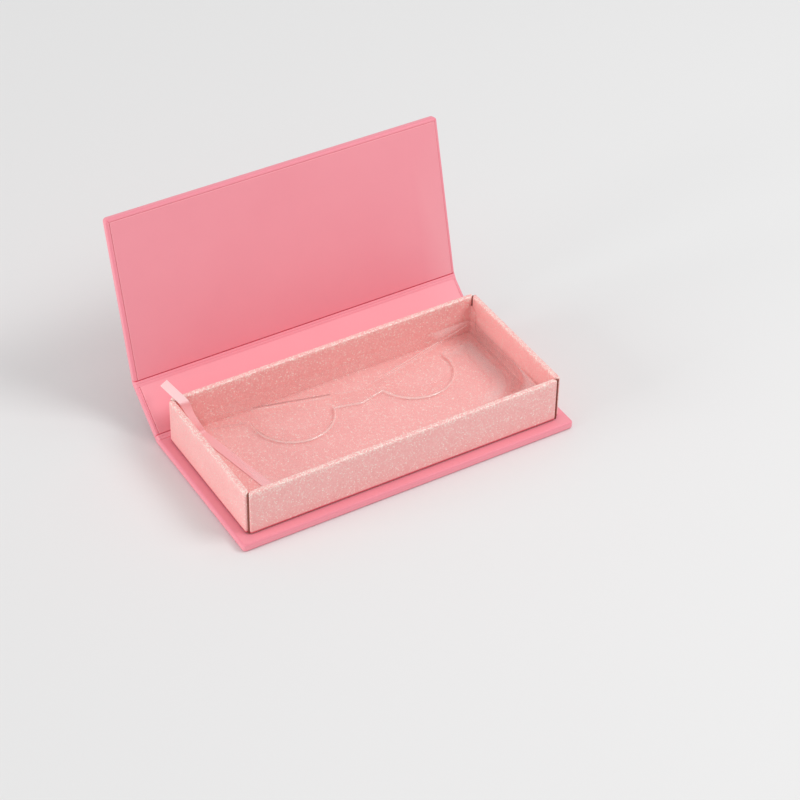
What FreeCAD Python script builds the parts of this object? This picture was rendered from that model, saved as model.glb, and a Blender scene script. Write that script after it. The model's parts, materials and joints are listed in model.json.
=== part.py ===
"""Book-style false eyelash case: a hinged paper-covered cover, a glitter-paper tray, a clear insert and a ribbon.

Units are millimetres and degrees. +X runs along the case, +Y to its hinge, +Z up.
The origin is the centre of the base's underside. The case is modelled standing open.
"""
import FreeCAD, Part
import math
import os

os.makedirs("parts", exist_ok=True)
vec = FreeCAD.Vector
X_AXIS = vec(1, 0, 0)
Z_AXIS = vec(0, 0, 1)

# Tray sizes
tray_length = 110.0
tray_depth = 51.5
tray_height = 15.6
wall_board = 1.4
floor_board = 1.4
glitter_paper = 0.2
corner_slit = 0.4
front_wall_short = 0.7
rim_round = 0.5
panel_end_round = 0.6
stay_recess = 0.5
stay_start = 1.2

# Cover sizes
side_margin = 3.0
front_margin = 3.2
back_margin = 0.8
lid_overhang = 1.6
cover_board = 2.5
cover_paper = 0.15
turn_in_width = 12.0
liner_inset = 1.2
base_liner_inset = 1.0
cover_corner_round = 1.2
cover_edge_round = 0.8
hinge_play = 0.3
lid_clearance = 0.4
spine_angle = 38.0
lid_angle = 75.3

# Closing magnets
magnet_length = 10.0
magnet_height = 4.0
magnet_thickness = 1.0
magnet_spacing = 70.0
magnet_edge_gap = 0.4

# Clear insert sizes
insert_sheet = 0.3
insert_left_gap = 8.0
insert_right_gap = 0.4
insert_front_gap = 0.6
insert_back_gap = 0.5
insert_corner = 6.0
insert_rise = 5.6
pan_lift = 0.3
side_flange = 0.8
side_draft = 0.6
front_flange = 7.0
front_slope = 4.5
pan_corner = 13.0
shelf_apex = 14.4
shelf_angle = 14.3
seat_radius = 13.2
seat_draft = 0.4
seat_drop = 0.7
seat_centre = 21.7

# Pull ribbon sizes: offsets are from the inner faces of the left, front and back walls
ribbon_width = 3.2
ribbon_thickness = 0.2
ribbon_front_offset = 15.2
ribbon_front_gap = 3.2
ribbon_back_offset = 7.0
ribbon_back_gap = 2.4
ribbon_rim_offset = 2.0
ribbon_rim_gap = 0.05
ribbon_tail_length = 11.4
ribbon_tail_drift = 1.2
ribbon_tail_cut = 1.6

# Sizes worked out from the driving ones
cover_thickness = cover_board + 3 * cover_paper
half_cover = cover_thickness / 2
hinge_gap = cover_thickness + hinge_play
cover_length = tray_length + 2 * side_margin
base_depth = front_margin + tray_depth + back_margin
lid_depth = lid_overhang + tray_depth + back_margin
pivot_distance = tray_height + cover_thickness + lid_clearance
spine_depth = pivot_distance - hinge_gap
wall = wall_board + 2 * glitter_paper
tray_left = -tray_length / 2
tray_right = tray_length / 2
tray_front = -base_depth / 2 + front_margin
tray_back = tray_front + tray_depth
tray_bottom = cover_thickness
tray_rim = tray_bottom + tray_height
inner_left = tray_left + wall
inner_right = tray_right - wall
inner_front = tray_front + wall
inner_back = tray_back - wall
floor_top = tray_bottom + floor_board + glitter_paper
base_pivot = vec(0, base_depth / 2 + hinge_gap / 2, half_cover)
spine_step = vec(0, math.cos(math.radians(spine_angle)), math.sin(math.radians(spine_angle)))
lid_pivot = base_pivot + spine_step * pivot_distance


def block(x0, x1, y0, y1, z0, z1):
    """Box between two corners."""
    return Part.makeBox(x1 - x0, y1 - y0, z1 - z0, vec(x0, y0, z0))


def save(shape, node):
    """Writes one node's solids."""
    shape.exportStep("parts/" + node + ".step")
    print(node, len(shape.Solids), "solid", round(shape.Volume, 2), "mm3", shape.isValid())


def is_along(edge, axis):
    """True for a straight edge that runs along one of the axes, given as 0, 1 or 2."""
    span = edge.BoundBox
    lengths = [span.XLength, span.YLength, span.ZLength]
    return all(length < 1e-6 for index, length in enumerate(lengths) if index != axis)


def placed(shape, pivot, rise):
    """Copy of a panel's shape, turned up about the hinge line and moved to its pivot."""
    copy = shape.copy()
    copy.rotate(vec(0, 0, 0), X_AXIS, rise)
    copy.translate(pivot)
    return copy


def on_base(shape):
    """Copy of a panel's shape, laid forward from the base's hinge line."""
    copy = shape.copy()
    copy.rotate(vec(0, 0, 0), Z_AXIS, 180)
    copy.translate(base_pivot)
    return copy


# Cover panels are made lying flat behind their hinge line, which is the local X axis at half thickness.
# Their outer face looks down and their inner face looks up.

def slab(depth, inset, far_is_free):
    """Paper-covered board without its liner, or the bare board where inset is the paper's thickness.

    The two short ends are free and softly rounded. The far edge is free on the base and lid,
    and is another hinge edge on the spine.
    """
    half_length = cover_length / 2 - inset
    start = hinge_gap / 2
    end = start + depth
    if far_is_free:
        end = end - inset
    low = -half_cover + inset
    high = half_cover - cover_paper - inset
    shape = block(-half_length, half_length, start, end, low, high)
    if far_is_free:
        corners = []
        for edge in shape.Edges:
            if is_along(edge, 2) and edge.BoundBox.YMax > end - 1e-6:
                corners.append(edge)
        shape = shape.makeFillet(cover_corner_round - inset, corners)
    rims = []
    for edge in shape.Edges:
        box = edge.BoundBox
        is_flat = box.ZLength < 1e-6
        is_hinge_edge = is_along(edge, 0) and (box.YMax < start + 1e-6 or not far_is_free)
        if is_flat and not is_hinge_edge:
            rims.append(edge)
    return shape.makeFillet(cover_edge_round - inset, rims)


def turn_in_window(depth, far_is_free):
    """Space on the inner face that the turned-in paper leaves bare."""
    half_length = cover_length / 2 - turn_in_width
    start = hinge_gap / 2
    end = start + depth
    if far_is_free:
        end = end - turn_in_width
    return block(-half_length, half_length, start, end, half_cover - 2 * cover_paper, half_cover - cover_paper)


def cover_wrap(depth, far_is_free):
    """Pink paper over the outer face and the free edges, turned in on the inner face."""
    return slab(depth, 0, far_is_free).cut(slab(depth, cover_paper, far_is_free)).cut(
        turn_in_window(depth, far_is_free))


def cover_liner(depth, far_is_free, side_inset, far_inset):
    """Pink lining paper on the inner face, pasted down inside the turned-in edges."""
    half_length = cover_length / 2 - side_inset
    start = hinge_gap / 2
    end = start + depth
    if far_is_free:
        end = end - far_inset
    sheet = block(-half_length, half_length, start, end, half_cover - cover_paper, half_cover)
    return sheet.fuse(turn_in_window(depth, far_is_free)).removeSplitter()


def hinge_strip():
    """Paper carried round the outside of a crease: a flat tab on the lower panel, then a quarter round."""
    outer = half_cover
    inner = half_cover - cover_paper
    diagonal = math.sqrt(0.5)
    outline = [
        Part.LineSegment(vec(0, -hinge_gap / 2, -outer), vec(0, 0, -outer)),
        Part.Arc(vec(0, 0, -outer), vec(0, outer * diagonal, -outer * diagonal), vec(0, outer, 0)),
        Part.LineSegment(vec(0, outer, 0), vec(0, inner, 0)),
        Part.Arc(vec(0, inner, 0), vec(0, inner * diagonal, -inner * diagonal), vec(0, 0, -inner)),
        Part.LineSegment(vec(0, 0, -inner), vec(0, -hinge_gap / 2, -inner)),
        Part.LineSegment(vec(0, -hinge_gap / 2, -inner), vec(0, -hinge_gap / 2, -outer)),
    ]
    face = Part.Face(Part.Wire([curve.toShape() for curve in outline]))
    face.translate(vec(-cover_length / 2, 0, 0))
    return face.extrude(vec(cover_length, 0, 0))


def pair(shape, spacing):
    """Two copies of a shape, set apart along X about the middle."""
    copies = []
    for side in (-1, 1):
        copy = shape.copy()
        copy.translate(vec(side * spacing / 2, 0, 0))
        copies.append(copy)
    return Part.makeCompound(copies)


# Base of the cover
base_board = slab(base_depth, cover_paper, True)
base_side_inset = side_margin + base_liner_inset
base_front_inset = front_margin + base_liner_inset
save(on_base(base_board), "base_board")
save(on_base(cover_wrap(base_depth, True)), "base_wrap")
save(on_base(cover_liner(base_depth, True, base_side_inset, base_front_inset)), "base_liner")
save(placed(hinge_strip(), base_pivot, 0), "lower_hinge_strip")

# Spine of the cover
save(placed(slab(spine_depth, cover_paper, False), base_pivot, spine_angle), "spine_board")
save(placed(cover_wrap(spine_depth, False), base_pivot, spine_angle), "spine_wrap")
save(placed(cover_liner(spine_depth, False, liner_inset, liner_inset), base_pivot, spine_angle), "spine_liner")
save(placed(hinge_strip(), lid_pivot, spine_angle), "upper_hinge_strip")

# Lid of the cover: its magnets lie under the liner, just behind the rounded front edge,
# and come over the tray's front wall when the case is shut
lid_magnet_far = hinge_gap / 2 + lid_depth - cover_edge_round - magnet_edge_gap
lid_magnet_top = half_cover - 2 * cover_paper
lid_magnet = block(-magnet_length / 2, magnet_length / 2,
                   lid_magnet_far - magnet_height, lid_magnet_far,
                   lid_magnet_top - magnet_thickness, lid_magnet_top)
lid_magnets = pair(lid_magnet, magnet_spacing)
save(placed(slab(lid_depth, cover_paper, True).cut(lid_magnets), lid_pivot, lid_angle), "lid_board")
save(placed(cover_wrap(lid_depth, True), lid_pivot, lid_angle), "lid_wrap")
save(placed(cover_liner(lid_depth, True, liner_inset, liner_inset), lid_pivot, lid_angle), "lid_liner")
save(placed(lid_magnets, lid_pivot, lid_angle), "lid_magnets")


def mitred_plan(length, short, inset):
    """Plan of one wall, lying along X from its left outer corner: its ends are cut at 45 degrees, half a slit back.

    A wall cut short leaves a wider slit at its right end.
    """
    end_cut = corner_slit * math.sqrt(0.5) + inset * math.sqrt(2.0)
    low = inset
    high = wall - inset
    right = length - short - end_cut
    corners = [vec(low + end_cut, low, 0), vec(right - low, low, 0),
               vec(right - high, high, 0), vec(high + end_cut, high, 0)]
    return Part.Face(Part.makePolygon(corners + corners[:1]))


def wall_block(length, short, turn, corner, inset):
    """One tray wall: the covered wall, or its bare board where inset is the paper's thickness."""
    shape = mitred_plan(length, short, inset).extrude(vec(0, 0, tray_height - inset))
    uprights = [edge for edge in shape.Edges if is_along(edge, 2)]
    shape = shape.makeFillet(panel_end_round - inset, uprights)
    rim_edges = [edge for edge in shape.Edges if edge.BoundBox.ZMin > tray_height - inset - 1e-6]
    shape = shape.makeFillet(rim_round - inset, rim_edges)
    shape.rotate(vec(0, 0, 0), Z_AXIS, turn)
    shape.translate(corner)
    return shape


# Tray walls: the four meet at mitred corners, each left open by a narrow slit, wider at the front right
walls = {
    "left": (tray_depth, 0, -90, vec(tray_left, tray_back, tray_bottom)),
    "right": (tray_depth, 0, 90, vec(tray_right, tray_front, tray_bottom)),
    "front": (tray_length, front_wall_short, 0, vec(tray_left, tray_front, tray_bottom)),
    "back": (tray_length, 0, 180, vec(tray_right, tray_back, tray_bottom)),
}
magnet_y = tray_front + wall / 2
board_top = tray_rim - glitter_paper
tray_magnet = block(-magnet_length / 2, magnet_length / 2,
                    magnet_y - magnet_thickness / 2, magnet_y + magnet_thickness / 2,
                    board_top - rim_round - magnet_height, board_top - rim_round)
tray_magnets = pair(tray_magnet, magnet_spacing)
for name, (length, short, turn, corner) in walls.items():
    covered = wall_block(length, short, turn, corner, 0)
    board = wall_block(length, short, turn, corner, glitter_paper)
    save(covered.cut(board), "tray_" + name + "_paper")
    if name == "front":
        board = board.cut(tray_magnets)
    save(board, "tray_" + name + "_board")
save(tray_magnets, "tray_magnets")

# Tray floor: a board between the walls, with its own glitter paper on top
board_high = tray_bottom + floor_board
save(block(inner_left, inner_right, inner_front, inner_back, tray_bottom, board_high), "tray_floor_board")
save(block(inner_left, inner_right, inner_front, inner_back, board_high, floor_top), "tray_floor_paper")

# Corner stays: brown paper tape that shows as a dark slit at each corner of the tray
stays = []
stay_end = wall * math.sqrt(2.0) - stay_recess
for turn, short, corner in ((45, 0, vec(tray_left, tray_front, tray_bottom)),
                            (135, front_wall_short, vec(tray_right, tray_front, tray_bottom)),
                            (-135, 0, vec(tray_right, tray_back, tray_bottom)),
                            (-45, 0, vec(tray_left, tray_back, tray_bottom))):
    front_face = corner_slit / 2 + short * math.sqrt(0.5)
    stay = block(stay_start, stay_end, -corner_slit / 2, front_face, 0, tray_height - stay_recess)
    stay.rotate(vec(0, 0, 0), Z_AXIS, turn)
    stay.translate(corner)
    stays.append(stay)
save(Part.makeCompound(stays), "corner_stays")

# Clear insert: one formed sheet with a low pan in front, a shelf behind a shallow V and two half-moon seats.
# Its places are measured from its middle and its back edge.
insert_left = inner_left + insert_left_gap
insert_right = inner_right - insert_right_gap
insert_length = insert_right - insert_left
insert_middle = (insert_left + insert_right) / 2
insert_front = inner_front + insert_front_gap
insert_back = inner_back - insert_back_gap
pan_bottom = floor_top + pan_lift
insert_top = pan_bottom + insert_rise
shelf_slope = math.tan(math.radians(shelf_angle))
apex_y = insert_back - shelf_apex


def shelf_y(offset):
    """Y of the V between pan and shelf, at a distance from the insert's middle."""
    return apex_y + shelf_slope * abs(offset)


def pan_outline(half_width, front, corner, back_shift, z):
    """Pan's outline at one height: the V at the back, straight sides, large round corners in front."""
    bend = corner * (1 - math.sqrt(0.5))
    left = insert_middle - half_width
    right = insert_middle + half_width
    side_end = shelf_y(half_width) + back_shift
    apex = vec(insert_middle, apex_y + back_shift, z)
    outline = [
        Part.LineSegment(apex, vec(right, side_end, z)),
        Part.LineSegment(vec(right, side_end, z), vec(right, front + corner, z)),
        Part.Arc(vec(right, front + corner, z), vec(right - bend, front + bend, z), vec(right - corner, front, z)),
        Part.LineSegment(vec(right - corner, front, z), vec(left + corner, front, z)),
        Part.Arc(vec(left + corner, front, z), vec(left + bend, front + bend, z), vec(left, front + corner, z)),
        Part.LineSegment(vec(left, front + corner, z), vec(left, side_end, z)),
        Part.LineSegment(vec(left, side_end, z), apex),
    ]
    return Part.Wire([curve.toShape() for curve in outline])


def seats(inset):
    """Two half-moon seats, each a half cone with its straight side along the V."""
    height = insert_rise - seat_drop - inset
    parts = []
    for side in (-1, 1):
        middle = vec(insert_middle + side * seat_centre, shelf_y(seat_centre), pan_bottom)
        cone = Part.makeCone(seat_radius - inset, seat_radius - seat_draft - inset, height, middle)
        parts.append(cone)
    return parts[0].fuse(parts[1])


def pan_space(inset):
    """Space over the sheet in the pan, or under its sheet line where inset is the sheet's thickness."""
    rim_half = insert_length / 2 - side_flange
    rim_front = insert_front + front_flange
    low = pan_outline(rim_half - side_draft + inset, rim_front + front_slope - inset, pan_corner + inset,
                      inset, pan_bottom + insert_sheet - inset)
    high = pan_outline(rim_half + inset, rim_front - inset, pan_corner + inset, inset, insert_top)
    return Part.makeLoft([low, high], True, True).cut(seats(inset))


sheet_outline = block(insert_left, insert_right, insert_front, insert_back, pan_bottom, insert_top)
sheet_outline = sheet_outline.makeFillet(insert_corner, [e for e in sheet_outline.Edges if is_along(e, 2)])
sheet_low = insert_top - insert_sheet
top_sheet = sheet_outline.common(block(insert_left, insert_right, insert_front, insert_back, sheet_low, insert_top))
leg_half = insert_length / 2 - insert_corner
front_leg = block(insert_middle - leg_half, insert_middle + leg_half,
                  insert_front, insert_front + insert_sheet, floor_top, insert_top)
back_leg = block(insert_middle - leg_half, insert_middle + leg_half,
                 insert_back - insert_sheet, insert_back, floor_top, insert_top)
lash_insert = top_sheet.fuse([pan_space(insert_sheet), front_leg, back_leg]).cut(pan_space(0)).removeSplitter()
save(lash_insert, "lash_insert")

# Pull ribbon: it lies on the floor under the insert's left end, climbs beside the back wall to the rim,
# and its tail lies over the back wall and sticks out behind the tray
half_ribbon = ribbon_width / 2
run_front = vec(inner_left + ribbon_front_offset, inner_front + ribbon_front_gap, floor_top)
run_back = vec(inner_left + ribbon_back_offset, inner_back - ribbon_back_gap, floor_top)
rim_middle = vec(inner_left + ribbon_rim_offset, run_back.y, tray_rim + ribbon_rim_gap)
tail_tip = rim_middle + vec(-ribbon_tail_drift, ribbon_tail_length, 0)
across = vec(half_ribbon, 0, 0)


def strip(start_left, start_right, end_right_point, end_left_point, thickness):
    """Flat piece of ribbon between four corners, given its thickness as a vector."""
    corners = [start_left, start_right, end_right_point, end_left_point, start_left]
    return Part.Face(Part.makePolygon(corners)).extrude(thickness)


floor_run = strip(run_front - across, run_front + across, run_back + across, run_back - across,
                  vec(0, 0, ribbon_thickness))
riser = strip(run_back - across, run_back + across, rim_middle + across, rim_middle - across,
              vec(0, ribbon_thickness, 0))
save(floor_run.fuse(riser).removeSplitter(), "pull_ribbon")
cut_back = vec(0, ribbon_tail_cut / 2, 0)
tail = strip(rim_middle - across, rim_middle + across, tail_tip + across + cut_back, tail_tip - across - cut_back,
             vec(0, 0, ribbon_thickness))
save(tail, "ribbon_tail")
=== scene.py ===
# %% [markdown]
# An open paper case for strip lashes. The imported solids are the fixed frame, in metres, and everything
# made here sits on them. The first box is kept so that the finished model can be compared with it.

# %% Load the solids
import json
import math

import bmesh
import bpy
import numpy as np
from mathutils import Matrix, Vector


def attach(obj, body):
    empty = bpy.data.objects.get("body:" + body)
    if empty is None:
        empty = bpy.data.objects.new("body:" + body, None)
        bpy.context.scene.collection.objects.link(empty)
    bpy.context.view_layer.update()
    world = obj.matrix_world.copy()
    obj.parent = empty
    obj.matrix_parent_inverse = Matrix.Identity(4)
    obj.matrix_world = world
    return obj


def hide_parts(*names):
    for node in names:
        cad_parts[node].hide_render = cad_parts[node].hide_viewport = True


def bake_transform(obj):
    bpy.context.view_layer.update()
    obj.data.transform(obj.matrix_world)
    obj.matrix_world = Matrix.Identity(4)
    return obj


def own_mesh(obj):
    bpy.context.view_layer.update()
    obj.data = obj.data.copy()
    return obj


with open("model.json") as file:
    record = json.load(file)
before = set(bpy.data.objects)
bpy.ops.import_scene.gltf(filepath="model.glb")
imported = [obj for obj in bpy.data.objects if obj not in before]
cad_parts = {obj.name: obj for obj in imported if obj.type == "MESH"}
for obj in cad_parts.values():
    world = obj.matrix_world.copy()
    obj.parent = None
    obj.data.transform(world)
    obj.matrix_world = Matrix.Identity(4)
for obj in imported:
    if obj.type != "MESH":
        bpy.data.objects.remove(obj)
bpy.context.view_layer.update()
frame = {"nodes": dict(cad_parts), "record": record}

MM = 0.001

# %% [markdown]
# The camera stands to the left, in front and above, far away with a long lens, which keeps the case's
# edges nearly parallel. Its angles came from matching the case's corners, so they are written as numbers:
# a turn round the case, a height above the table, a slight roll, a distance and a point to look at.


# %% Camera
def show(name, data):
    """New object in the scene that shows a mesh, a lamp or a lens."""
    made = bpy.data.objects.new(name, data)
    bpy.context.scene.collection.objects.link(made)
    return made


turn, height, roll = np.radians([-31.3833, 39.0937, 1.0813])
look_at = Vector((-2.464, -22.863, 32.143)) * MM
camera_distance = 734.302 * MM
aim = (Matrix.Rotation(turn, 4, "Z") @ Matrix.Rotation(math.pi / 2 - height, 4, "X")
       @ Matrix.Rotation(roll, 4, "Z"))
lens = bpy.data.cameras.new("camera")
lens.sensor_width = 36.0
lens.lens = 111.948
camera = show("camera", lens)
camera.matrix_world = Matrix.Translation(look_at) @ aim @ Matrix.Translation((0, 0, camera_distance))
bpy.context.scene.camera = camera
bpy.context.scene.view_settings.view_transform = "Standard"
print("camera at", np.round(camera.matrix_world.translation, 3))

# %% [markdown]
# Finishes are built from shader nodes. Writing node links by hand is long, so one small class wraps a
# socket: Python arithmetic on it adds Math nodes, and its node method adds any other kind of node.


# %% Shader arithmetic
class Wire:
    """A shader socket that takes Python arithmetic, where each operator adds one Math node."""

    def __init__(self, socket):
        self.socket = socket

    def node(self, kind, settings=None, sockets=None, output=0):
        """Adds a node: its settings first, then a value or a link for each socket. Gives one output."""
        tree = self.socket.id_data
        made = tree.nodes.new(kind)
        for name, value in (settings or {}).items():
            setattr(made, name, value)
        for name, value in (sockets or {}).items():
            if isinstance(value, Wire):
                tree.links.new(value.socket, made.inputs[name])
            else:
                made.inputs[name].default_value = value
        return Wire(made.outputs[output])

    def math(self, operation, *inputs):
        """One Math node on numbers."""
        return self.node("ShaderNodeMath", {"operation": operation}, dict(enumerate(inputs)))

    def vector(self, operation, *inputs):
        """One Vector Math node on directions."""
        return self.node("ShaderNodeVectorMath", {"operation": operation}, dict(enumerate(inputs)))

    def __add__(self, other):
        return self.math("ADD", self, other)

    def __sub__(self, other):
        return self.math("SUBTRACT", self, other)

    def __mul__(self, other):
        return self.math("MULTIPLY", self, other)

    def __pow__(self, other):
        return self.math("POWER", self, other)

    def __gt__(self, other):
        return self.math("GREATER_THAN", self, other)

    def __rsub__(self, other):
        return self.math("SUBTRACT", other, self)

    __radd__ = __add__
    __rmul__ = __mul__


print("a wire takes + - * ** and >")

# %% [markdown]
# Every finish starts from the same few nodes: a colour as it looks on screen, a mix of two colours, soft
# noise, a number that the mesh carries, and a bump. Each gets a helper, so that a finish reads like a
# recipe.


# %% Common nodes
def srgb(red, green, blue):
    """A colour as it looks on screen, 0 to 255, given as the light value that shaders use."""
    shown = np.array([red, green, blue]) / 255.0
    light = np.where(shown <= 0.04045, shown / 12.92, ((shown + 0.055) / 1.055) ** 2.4)
    return (*light.tolist(), 1.0)


def colour_mix(factor, first, second):
    """First colour where the factor is 0, second where it is 1."""
    return factor.node("ShaderNodeMix", {"data_type": "RGBA"}, {0: factor, 6: first, 7: second}, 2)


def new_finish(name, **fixed):
    """A material with its object coordinates as a wire. The fixed values go straight on the shader."""
    material = bpy.data.materials.new(name)
    material.use_nodes = True
    tree = material.node_tree
    shader = tree.nodes["Principled BSDF"]
    for socket, value in fixed.items():
        shader.inputs[socket.replace("_", " ")].default_value = value
    place = Wire(tree.nodes.new("ShaderNodeTexCoord").outputs["Object"])
    return material, shader, place


def feed(shader, **wires):
    """Links wires to the shader's sockets, named with underscores for spaces."""
    for socket, wire in wires.items():
        shader.id_data.links.new(wire.socket, shader.inputs[socket.replace("_", " ")])


def noise(place, size, detail=2.0):
    """Soft random value from 0 to 1, with features of about this size in metres."""
    return place.node("ShaderNodeTexNoise", {}, {"Vector": place, "Scale": 1 / size, "Detail": detail})


def mesh_value(place, name):
    """A number that the mesh carries at each point."""
    return place.node("ShaderNodeAttribute", {"attribute_name": name}, {}, "Fac")


def bump(place, height, strength, depth):
    """Normal of a surface that is raised by the height wire, over a depth in metres."""
    return place.node("ShaderNodeBump", {}, {"Strength": strength, "Distance": depth, "Height": height})


print("middle grey on screen is", round(srgb(128, 128, 128)[0], 3), "as light")

# %% [markdown]
# The cover's paper is printed pink and has a thin satin film. A plain colour would look like plastic, so
# noise adds slow clouds in the ink and fine fibres under the film that break up the gloss. The rounded
# edges are painted a deeper pink as shade, and the creases a deeper pink still as painted shade. A cut edge
# of the liner shows its paler core, and is painted paler still as a highlight.


# %% Pink art paper
def pink_paper(name, deep, light, edge_light_and_shade, crease_shade):
    """Clouded ink, mixed towards a painted edge colour at the edges and painted shade in creases. Fibres
    roughen it.
    """
    material, shader, place = new_finish(name, Coat_Weight=0.06, Coat_Roughness=0.35)
    cloud = noise(place, 0.022, 3.0)
    fibre = noise(place, 0.00035, 4.0)
    edge = mesh_value(place, "edge")
    ink = colour_mix(cloud, deep, light)
    # Edges get painted shade on the cover, and a pale core with a painted highlight on the liner.
    edge_painted = colour_mix(edge * (0.45 + 0.45 * fibre), ink, edge_light_and_shade)
    # Creases get painted shade.
    pressed = colour_mix(mesh_value(place, "pressed"), edge_painted, crease_shade)
    feed(shader, Base_Color=pressed, Roughness=0.42 + 0.14 * fibre,
         Normal=bump(place, fibre, 0.12, 0.00004))
    return material


# The cover's edge colour is painted shade, and the liner's is its pale core with a painted highlight.
painted_crease_shade = srgb(236, 96, 124)
cover_finish = pink_paper("pink_paper", srgb(247, 151, 165), srgb(251, 159, 172), srgb(240, 132, 150),
                          painted_crease_shade)
liner_finish = pink_paper("pink_liner", srgb(246, 151, 164), srgb(251, 159, 171), srgb(255, 184, 191),
                          painted_crease_shade)
print("made", cover_finish.name, "and", liner_finish.name)

# %% [markdown]
# Glitter paper is a peach ground with tiny cut flakes set in it at all angles. As meshes they would be far
# too many, so cells of a Voronoi pattern stand for them: each has its own tilt, so each catches the light
# at its own moment, and some are painted cream as glints. Near the folded rim more cells get painted
# glints, and on the left wall fewer, after how light falls there. The foot is painted deep pink as shade.

# %% Glitter paper
flake_size = 0.0003
flake_tilt = 0.22


def glitter_paper(name, ground_deep, ground_light, flake_glint, foot_shade):
    """Ground by cell and cloud, painted glints where a cell's chance is high, painted foot shade, tilted
    faces.
    """
    material, shader, place = new_finish(name)
    cells = {"Vector": place, "Scale": 1 / flake_size}
    tilt = place.node("ShaderNodeTexVoronoi", {}, cells, "Color")
    chance = place.node("ShaderNodeSeparateColor", {}, {"Color": tilt}, "Red")
    tone = place.node("ShaderNodeSeparateColor", {}, {"Color": tilt}, "Green")
    cloud = noise(place, 0.006, 3.0)
    edge = mesh_value(place, "edge")
    fewer_glints = mesh_value(place, "fewer_glints")
    foot = mesh_value(place, "foot")
    # Painted glints: more near the rim, fewer on the left wall.
    painted_glint = chance > (0.9 + 0.06 * fewer_glints - 0.4 * edge)
    ground = colour_mix(0.5 * tone + 0.5 * cloud, ground_deep, ground_light)
    speckled = colour_mix(painted_glint * (0.45 + 0.55 * tone), ground, flake_glint)
    # Painted shade at the wall's foot, where it stands on the cover.
    foot_shaded = colour_mix(foot, speckled, foot_shade)
    swing = place.vector("MULTIPLY_ADD", tilt, (flake_tilt,) * 3, (-flake_tilt / 2,) * 3)
    face = place.node("ShaderNodeNewGeometry", {}, {}, "Normal")
    face = place.vector("NORMALIZE", place.vector("ADD", face, swing))
    feed(shader, Base_Color=foot_shaded, Roughness=0.46 - 0.2 * painted_glint, Normal=face)
    return material


# The flake colour is a painted glint, and the foot colour is painted shade.
glitter_finish = glitter_paper("glitter_paper", srgb(242, 170, 167), srgb(253, 194, 190),
                               srgb(255, 236, 226), srgb(208, 70, 92))
print("made", glitter_finish.name)

# %% [markdown]
# New pieces are point grids worked out with numpy and joined into faces. The case's pieces are outlines
# and profiles with exact sizes, which a formula keeps better than modelling by hand. Two helpers number
# the faces of a grid, and one turns points and faces into a piece that rides on its body, carries named
# values for the finishes, and has its faces turned outwards.


# %% Mesh helpers
def grid_faces(rows, columns):
    """Four-cornered faces between neighbours of a grid of points, whose last column joins its first."""
    row, column = np.meshgrid(np.arange(rows - 1), np.arange(columns), indexing="ij")
    after = (column + 1) % columns
    corners = [row * columns + column, row * columns + after,
               (row + 1) * columns + after, (row + 1) * columns + column]
    return np.stack(corners, axis=-1).reshape(-1, 4).tolist()


def tube_faces(rows, columns):
    """Faces of such a grid, with its first and last rows filled in."""
    last = (rows - 1) * columns
    caps = [list(range(columns - 1, -1, -1)), list(range(last, last + columns))]
    return grid_faces(rows, columns) + caps


def make_piece(name, points, faces, finish, body, nodes=(), values=None, flat=None, sharp=40.0):
    """A mesh piece from points in millimetres, with values and an optional flat map for each point."""
    mesh = bpy.data.meshes.new(name)
    mesh.from_pydata((np.asarray(points) * MM).tolist(), [], faces)
    for key, numbers in (values or {}).items():
        layer = mesh.attributes.new(key, "FLOAT", "POINT")
        layer.data.foreach_set("value", np.asarray(numbers, np.float32))
    if flat is not None:
        corners = np.zeros(len(mesh.loops), np.int32)
        mesh.loops.foreach_get("vertex_index", corners)
        layer = mesh.uv_layers.new(name="flat")
        layer.data.foreach_set("uv", np.asarray(flat, np.float32)[corners].ravel())
    shape = bmesh.new()
    shape.from_mesh(mesh)
    bmesh.ops.remove_doubles(shape, verts=shape.verts, dist=1e-7)
    bmesh.ops.dissolve_degenerate(shape, edges=shape.edges, dist=1e-8)
    if shape.calc_volume(signed=True) < 0:
        bmesh.ops.reverse_faces(shape, faces=shape.faces)
    shape.to_mesh(mesh)
    shape.free()
    mesh.polygons.foreach_set("use_smooth", np.ones(len(mesh.polygons), bool))
    mesh.set_sharp_from_angle(angle=math.radians(sharp))
    mesh.materials.append(finish)
    piece = show(name, mesh)
    if body:
        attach(piece, body)
    if nodes:
        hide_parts(*nodes)
    print(name, len(mesh.vertices), "points")
    return piece


print("a tube of 3 rings of 4 points has", len(tube_faces(3, 4)), "faces")

# %% [markdown]
# Many pieces need the same small steps: the angles of a quarter turn, points on a circle, flat points
# turned or raised, and directions of length one. Each step works on whole arrays, which is quick and short.


# %% Steps of geometry
def quarter(steps):
    """Angles of a quarter turn, from 0 to a right angle."""
    return np.linspace(0.0, math.pi / 2, steps)


def around(angle):
    """Points at these angles on a circle of radius one."""
    return np.stack([np.cos(angle), np.sin(angle)], -1)


def turned(flat, angle):
    """Flat points turned about the origin, anticlockwise."""
    cosine, sine = around(angle)
    return np.asarray(flat) @ np.array([[cosine, sine], [-sine, cosine]])


def left_of(way):
    """Flat directions turned to the left by a right angle."""
    return np.stack([-way[..., 1], way[..., 0]], -1)


def unit(ways):
    """Directions brought to length one."""
    return ways / np.maximum(np.linalg.norm(ways, axis=-1, keepdims=True), 1e-9)


def raised(loop, level):
    """Flat points raised to a level, given as one number or one for each point."""
    return np.column_stack([loop, np.broadcast_to(level, len(loop))])


print("a quarter turn in three steps:", np.round(quarter(3), 3))

# %% [markdown]
# The case folds at two creases. Every panel is worked out lying flat behind its hinge line, where its sizes
# are easy to read. It is then turned up about that line by its angle and moved to its pivot; the base,
# which lies on the table, only turns to the front.

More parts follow.
